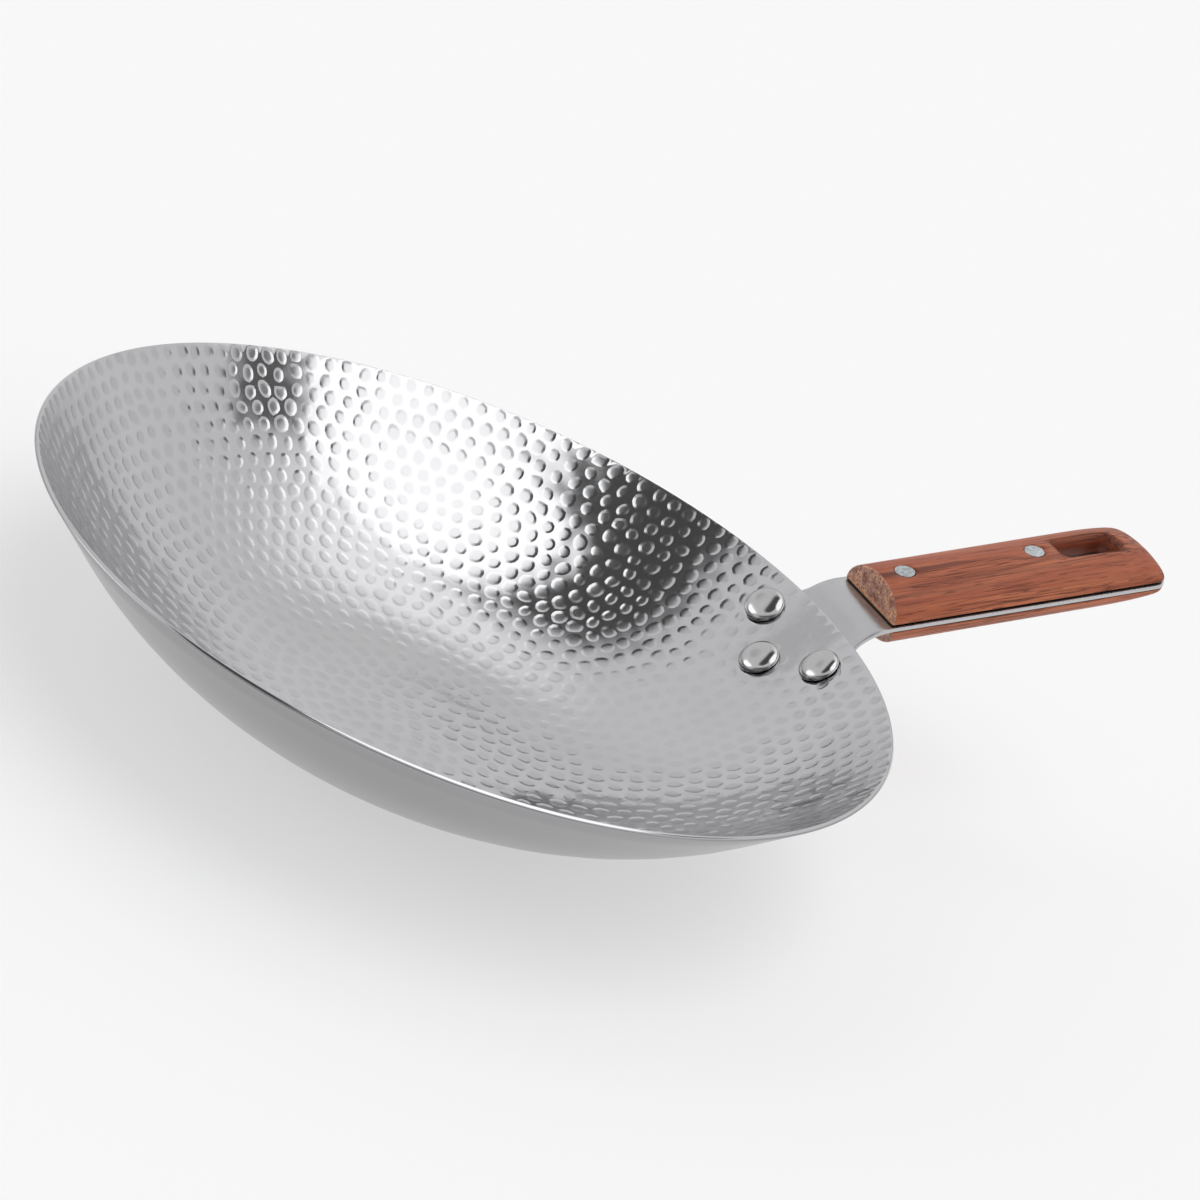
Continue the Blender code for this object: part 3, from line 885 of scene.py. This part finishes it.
# %% Make the grain group
def wood_grain_group():
    tree, start, end = new_group(
        "wood_grain",
        [
            ("Vector", "Vector", (0, 0, 0)),
            ("Light", "Color", (0.53, 0.165, 0.078, 1)),
            ("Middle", "Color", (0.385, 0.094, 0.041, 1)),
            ("Dark", "Color", (0.095, 0.022, 0.014, 1)),
        ],
        SKIN,
    )

    def laid(along, across, detail, distortion=0.0):
        """Noise drawn out along the handle."""
        drawn = put(tree, "Mapping", {"Vector": start["Vector"],
                                      "Scale": (along, across, across)})
        return cloud(tree, drawn.outputs[0], 1.0, detail, distortion)

    def lines(along, across, width, weight):
        """Thin lines where the noise crosses its middle, which come and go."""
        crossing = math_node(tree, "SUBTRACT", laid(along, across, 2.0, 0.4), 0.5)
        off = math_node(tree, "ABSOLUTE", crossing)
        patch = remap(tree, laid(8, 110, 1.0), 0.38, 0.60, 0.30, 1.0)
        return math_node(tree, "MULTIPLY", remap(tree, off, 0.0, width, weight, 0.0),
                         patch)

    broad = remap(tree, laid(8, 130, 4.0, 0.7), 0.36, 0.62)
    streaks = remap(tree, laid(9, 300, 3.0), 0.50, 0.68, 0.0, 0.75)
    coarse = lines(12, 400, 0.035, 0.85)
    fine = lines(22, 1000, 0.050, 0.60)
    pores = remap(tree, laid(100, 1500, 1.0), 0.60, 0.68, 0.0, 0.6)
    color = blend(tree, broad, start["Middle"], start["Light"])
    for dark in (streaks, math_node(tree, "MAXIMUM", coarse, fine), pores):
        color = blend(tree, dark, color, start["Dark"])
    raised = math_node(tree, "MULTIPLY", coarse, -1.0)
    wire(tree, end, {"Color": color,
                     "Roughness": remap(tree, coarse, 0.0, 0.7, 0.46, 0.62),
                     "Height": math_node(tree, "SUBTRACT", raised, pores)})
    return tree


wood_grain = wood_grain_group()
print("grain:", len(wood_grain.nodes), "nodes")

# %% [markdown]
# ## The wood's other faces
#
# On the front ends the saw cut across the fibres, so there the wood is duller, browner
# and mottled. The slot lies in its own shade, and a thin dark line of painted shade
# runs in the groove where the wood meets the strip. Each mask is made from the handle's
# own frame, and its colour is laid over the grain.

# %% Show the sawn ends
FRONT_LEAN = 0.20
SAWN_DARK, SAWN_RED, SAWN_PALE = (
    (0.26, 0.10, 0.062, 1), (0.54, 0.30, 0.23, 1), (0.80, 0.42, 0.24, 1)
)
SAWN_NEAR_STRIP = (0.74, 0.37, 0.20, 1)
FIBRE = (0.26, 0.10, 0.06, 1)


def fading(tree, value, low, high):
    """1 below low, 0 above high."""
    return remap(tree, value, low, high, 1.0, 0.0)


def sawn_wood(tree, place, off_strip):
    """The colour of wood that is cut across."""
    blotches = put(tree, "ValToRGB", {"Fac": cloud(tree, place, 330.0, 3.0)})
    stops = blotches.color_ramp.elements
    stops[0].position, stops[0].color = 0.34, SAWN_DARK
    stops[1].position, stops[1].color = 0.66, SAWN_PALE
    stops.new(0.50).color = SAWN_RED
    color = blend(tree, fading(tree, off_strip, 0.8 * MM, 2.2 * MM),
                  blotches.outputs["Color"], SAWN_NEAR_STRIP)
    fibres = fading(tree, cloud(tree, place, 1400.0, 2.0), 0.36, 0.46)
    return blend(tree, fibres, color, FIBRE)


print(f"the front leans back by {FRONT_LEAN:.2f} of its height")

# %% Finish the wood
SLOT_LENGTH, SLOT_WIDTH, SLOT_CORNER = 29.3 * MM, 13.5 * MM, 4.5 * MM
SLOT_MIDDLE = SCALE_LENGTH - 13 * MM - SLOT_LENGTH / 2
SLOT_SHADE = 0.76
# painted shade: a near-black line in the groove where the wood meets the strip
GROOVE_SHADE = (0.02, 0.010, 0.008, 1)
PORE_DEPTH = 0.3 * MM


def wood(name, shift):
    """The scales' finish. shift moves the pattern, so that no two pieces match."""
    material, tree, shader = new_material(name)
    sockets = {"Vector": put(tree, "TexCoord").outputs["Object"],
               "Location": handle.translation, "Rotation": handle.to_euler()}
    flat = put(tree, "Mapping", sockets, vector_type="TEXTURE").outputs[0]
    place = put(tree, "VectorMath", {0: flat, 1: shift}, operation="ADD").outputs[0]
    grain = put(tree, "Group", {"Vector": place}, node_tree=wood_grain).outputs
    split = put(tree, "SeparateXYZ", {0: flat}).outputs
    off_strip = math_node(tree, "SUBTRACT", math_node(tree, "ABSOLUTE", split["Z"]),
                          TANG_THICKNESS / 2 + SEAT_GAP)

    lean = math_node(tree, "MULTIPLY", off_strip, FRONT_LEAN)
    behind_front = math_node(tree, "SUBTRACT", split["X"], lean)
    color = blend(tree, fading(tree, behind_front, 0.2 * MM, 0.6 * MM),
                  grain["Color"], sawn_wood(tree, place, off_strip))

    from_slot = math_node(tree, "SUBTRACT", split["X"], SLOT_MIDDLE)
    in_slot = [
        fading(tree, math_node(tree, "ABSOLUTE", off), half + 0.1 * MM, half + 0.4 * MM)
        for off, half in ((split["Y"], SLOT_WIDTH / 2), (from_slot, SLOT_LENGTH / 2))
    ]
    color = blend(tree, math_node(tree, "MULTIPLY", *in_slot), color,
                  dim(tree, color, SLOT_SHADE))
    # a thin dark line along the strip, painted shade of the groove where the wood meets
    # it
    color = blend(tree, fading(tree, off_strip, 0.3 * MM, 0.8 * MM), color, GROOVE_SHADE)

    relief = put(tree, "Bump", {"Height": grain["Height"], "Strength": 0.25,
                                "Distance": PORE_DEPTH}).outputs["Normal"]
    wire(tree, shader.inputs, {"Base Color": color, "Roughness": grain["Roughness"],
                               "Normal": relief, "Specular IOR Level": 0.28})
    return material


upper_wood = wood("upper_wood", (0.17, 0.005, 0.012))
lower_wood = wood("lower_wood", (0.31, 0.02, 0.07))
print("woods:", upper_wood.name, lower_wood.name)

# %% [markdown]
# ## The scales
#
# A scale is a D-shaped bar: flat where it meets the strip, full and rounded on its
# back, and rounded over at the butt. Sections are set along its length and bridged.
# The pins' holes and the hanging slot go right through, so they are cut from the
# finished bar. The strip is punched half a millimetre wider than the wood's slot, so
# that no steel edge stands in it.

# %% Draw a scale's section
SCALE_INSET = 0.8 * MM
FRONT_HEIGHT, BUTT_HEIGHT = 11.2 * MM, 10.4 * MM
LEAN_LENGTH = 24 * MM
BUTT_ROUND_OVER = 32 * MM
BUTT_FULLNESS = 2.6
BUTT_EDGE = 1.8 * MM
EASE = 0.7 * MM
SQUARENESS = 1.97


def section(half, height, steps=36):
    """The D, as (way across, way up)."""
    points = [(-half + EASE, 0), (half - EASE, 0)]
    for step in range(steps + 1):
        angle = math.pi * step / steps
        reach = abs(math.cos(angle)) ** (2 / SQUARENESS)
        rise = abs(math.sin(angle)) ** (2 / SQUARENESS)
        across = math.copysign(reach, math.cos(angle)) * half
        points.append((across, EASE + rise * (height - EASE)))
    return points


def rounding(left, length, power=2.0):
    """How full a rounded end still is: 1 before it starts, 0 at its very end."""
    short = min(max(1 - left / length, 0), 1)
    return (1 - short**power) ** (1 / power)


def scale_height(along):
    return FRONT_HEIGHT + (BUTT_HEIGHT - FRONT_HEIGHT) * along / SCALE_LENGTH


print("a section has", len(section(FRONT_HALF_WIDTH, FRONT_HEIGHT)), "points")

# %% Loft a scale
# the front's rounded edge: shares of EASE along the scale and in from its outline
FRONT_EDGE = [(0, 1), (0.09, 0.56), (0.29, 0.29), (0.62, 0.08), (1, 0)]
LEAN_STEPS, BODY_STEPS, BUTT_STEPS = 4, 8, 20


def loft_scale():
    body_end = SCALE_LENGTH - BUTT_ROUND_OVER
    stations = [(along * EASE, eased * EASE) for along, eased in FRONT_EDGE]
    places = even(0, LEAN_LENGTH, LEAN_STEPS) + even(LEAN_LENGTH, body_end, BODY_STEPS)
    places += [body_end + BUTT_ROUND_OVER * math.sin(angle)
               for angle in even(0, math.pi / 2, BUTT_STEPS)]
    made = bmesh.new()
    rings = []
    for along, eased in stations + [(place, 0) for place in places]:
        left = SCALE_LENGTH - along
        corner = BUTT_CORNER - SCALE_INSET
        half = half_width(along) - SCALE_INSET - corner * (1 - rounding(left, corner))
        full = rounding(left, BUTT_ROUND_OVER, BUTT_FULLNESS)
        rise = (scale_height(along) - BUTT_EDGE) * full + BUTT_EDGE
        lean = FRONT_LEAN * max(0, 1 - along / LEAN_LENGTH)
        rings.append([made.verts.new((along + lean * up, across, up))
                      for across, up in section(half - eased, rise - eased)])
    loops = [[made.edges.new(pair) for pair in zip(verts, verts[1:] + verts[:1])]
             for verts in rings]
    for first, second in zip(loops, loops[1:]):
        bmesh.ops.bridge_loops(made, edges=first + second)
    for verts in (rings[0], rings[-1]):
        made.faces.new(verts)
    return made


print("a scale has", len(FRONT_EDGE) + LEAN_STEPS + BODY_STEPS + BUTT_STEPS, "sections")

# %% Cut the scales
PIN_RADIUS = 3.8 * MM
PIN_PLACES = (13.0 * MM, SLOT_MIDDLE - SLOT_LENGTH / 2 - 9 * MM)
CUTTER_DEPTH = 60 * MM


def slot_cutter(name, extra=0.0):
    made = bmesh.new()
    half, side = SLOT_LENGTH / 2 + extra, SLOT_WIDTH / 2 + extra
    corners = [(half, side), (-half, side), (-half, -side), (half, -side)]
    ring = []
    for index, corner in enumerate(corners):
        ring += fillet(corner, corners[index - 1], corners[(index + 1) % 4],
                       SLOT_CORNER, 8)
    base = made.faces.new([made.verts.new((x + SLOT_MIDDLE, y, -CUTTER_DEPTH / 2))
                           for x, y in ring])
    extrude(made, [base], CUTTER_DEPTH)
    bmesh.ops.transform(made, matrix=handle, verts=made.verts)
    return as_object(made, name)


def bar_cutter(name, radius, place):
    """A round bar along the Z of a frame."""
    made = bmesh.new()
    bmesh.ops.create_cone(made, cap_ends=True, segments=48, radius1=radius,
                          radius2=radius, depth=CUTTER_DEPTH, matrix=place)
    return as_object(made, name)


pin_holes = [
    bar_cutter(f"pin_hole_{index}", PIN_RADIUS + SEAT_GAP,
               handle @ Matrix.Translation((place, 0, 0)))
    for index, place in enumerate(PIN_PLACES)
]
wood_slot, strip_slot = slot_cutter("wood_slot"), slot_cutter("strip_slot", 0.5 * MM)
scales = []
for name, side, finish in (("upper_scale_wood", 1, upper_wood),
                           ("lower_scale_wood", -1, lower_wood)):
    made = loft_scale()
    bmesh.ops.translate(made, verts=made.verts,
                        vec=(0, 0, TANG_THICKNESS / 2 + SEAT_GAP))
    bmesh.ops.scale(made, verts=made.verts, vec=(1, 1, side))
    bmesh.ops.transform(made, matrix=handle, verts=made.verts)
    scale = as_object(made, name, 35, finish)
    cut(scale, [wood_slot] + pin_holes)
    scales.append(scale)
print("scales:", [len(scale.data.polygons) for scale in scales], "faces")

# %% [markdown]
# ## Pins and rivets
#
# Both are turned parts, so both are spun from half of their section. The pins are plain
# bars, ground flush with the wood. The rivets have a broad, thin, polished head inside
# the bowl, a shank through wall and strip, and a smaller closed head underneath.

# %% Turn the pins
PIN_PROUD = 0.1 * MM
PIN_CROWN = 0.12 * MM
# a pin's edge is eased in two steps: its whole ease, and how far its middle point is in
PIN_EASE, PIN_EASE_MIDDLE = 0.25 * MM, 0.07 * MM


def turned(profile, steps, place):
    """A section of (radius, height) points, spun round and put in place."""
    made = bmesh.new()
    verts = [made.verts.new((radius, 0, height)) for radius, height in profile]
    edges = [made.edges.new(pair) for pair in zip(verts, verts[1:])]
    bmesh.ops.spin(made, geom=verts + edges, cent=(0, 0, 0), axis=(0, 0, 1),
                   angle=math.tau, steps=steps, use_merge=True)
    bmesh.ops.transform(made, matrix=place, verts=made.verts)
    return made


def bow(radius, rise, top, steps):
    """Points of a shallow dome from its edge to its crown."""
    sphere = (radius**2 + rise**2) / (2 * rise)
    span = math.asin(radius / sphere)
    angles = [span * (1 - step / steps) for step in range(steps)]
    return [(sphere * math.sin(angle), top - sphere + sphere * math.cos(angle))
            for angle in angles] + [(0, top)]


pins = []
for name, along in zip(("front_pin", "rear_pin"), PIN_PLACES):
    top = TANG_THICKNESS / 2 + SEAT_GAP + scale_height(along) + PIN_PROUD
    crown = bow(PIN_RADIUS - PIN_EASE, PIN_CROWN, top, 6)
    edge_top = crown[0][1]
    half_pin = [(PIN_RADIUS, 0), (PIN_RADIUS, edge_top - PIN_EASE),
                (PIN_RADIUS - PIN_EASE_MIDDLE, edge_top - PIN_EASE_MIDDLE)] + crown
    profile = [(r, -h) for r, h in reversed(half_pin)] + half_pin[1:]
    place = handle @ Matrix.Translation((along, 0, 0))
    pins.append(as_object(turned(profile, 64, place), name, 35, pin_steel))
print("pins:", [pin.name for pin in pins])

# %% Turn the rivets
HEAD_RADIUS, HEAD_HEIGHT, HEAD_EDGE = 7.5 * MM, 3.1 * MM, 0.4 * MM
HEAD_UNDERCUT = 0.3 * MM
HEAD_FULLNESS, HEAD_STEPS = 2.3, 16
SHANK_RADIUS = 2.6 * MM
TAIL_RADIUS, TAIL_HEIGHT = 4.8 * MM, 1.8 * MM
RIVETS = {
    "bowl_rivet_left": UPPER_RIVETS,
    "bowl_rivet_right": (UPPER_RIVETS[0], -UPPER_RIVETS[1]),
    "bowl_rivet_lower": LOWER_RIVET,
}


def rivet_place(run, across):
    """The wall's frame at a rivet: origin on the inner face, Z square into the bowl."""
    x, z, slope = wall_point(run, SHEET)
    turn = Matrix.Rotation(across / wall_point(run)[0], 4, "Z")
    return turn @ Matrix.Translation((x, 0, z)) @ Matrix.Rotation(-slope, 4, "Y")


def rivet_profile(run):
    """Half of a rivet's section. Its head's rim just clears the curved wall."""
    radius, _, slope = wall_point(run, SHEET)
    tightest = min(radius / math.sin(slope), ARC_RADIUS - SHEET)
    under_head = HEAD_RADIUS**2 / (2 * tightest) + SEAT_GAP
    tail_face = -SHEET - TANG_THICKNESS - 2 * SEAT_GAP
    tail = bow(TAIL_RADIUS, TAIL_HEIGHT, TAIL_HEIGHT, 10)
    profile = [(r, tail_face - h) for r, h in reversed(tail)]
    profile += [(SHANK_RADIUS, tail_face), (SHANK_RADIUS, under_head),
                (HEAD_RADIUS - HEAD_UNDERCUT, under_head)]
    for step in range(HEAD_STEPS):
        angle = math.pi / 2 * step / HEAD_STEPS
        rise = (HEAD_HEIGHT - HEAD_EDGE) * math.sin(angle) ** (2 / HEAD_FULLNESS)
        profile.append((HEAD_RADIUS * abs(math.cos(angle)) ** (2 / HEAD_FULLNESS),
                        under_head + HEAD_EDGE + rise))
    return profile + [(0, under_head + HEAD_HEIGHT)]


rivets, shank_holes = {}, []
for node, (run, across) in RIVETS.items():
    place = rivet_place(run, across)
    name = node.replace("bowl_rivet", "rivet")
    rivets[node] = as_object(turned(rivet_profile(run), 64, place), name, 35,
                             rivet_steel)
    shank_holes.append(bar_cutter(name + "_hole", SHANK_RADIUS + SEAT_GAP, place))
print("rivets:", list(rivets))

# %% [markdown]
# ## Holes
#
# A punch goes through the finished sheet and strip, wherever their faces happen to
# lie. A boolean cut does the same. Afterwards the cutters are thrown away.

# %% Drill the bowl and the strip
cut(bowl, shank_holes)
cut(strip, shank_holes + pin_holes + [strip_slot])
for cutter in shank_holes + pin_holes + [strip_slot, wood_slot]:
    bpy.data.objects.remove(cutter, do_unlink=True)
print("drilled:", len(bowl.data.polygons), "and", len(strip.data.polygons), "faces")

# %% [markdown]
# ## Put the pieces in the frame
#
# Each piece now takes the place of its CAD node and rides on the one body of the wok.

# %% Install the pieces
install(bowl, "bowl")
install(strip, "handle_tang")
install(scales[0], "upper_scale")
install(scales[1], "lower_scale")
install(pins[0], "handle_pin_front")
install(pins[1], "handle_pin_rear")
for node, rivet in rivets.items():
    install(rivet, node)
bpy.context.view_layer.update()
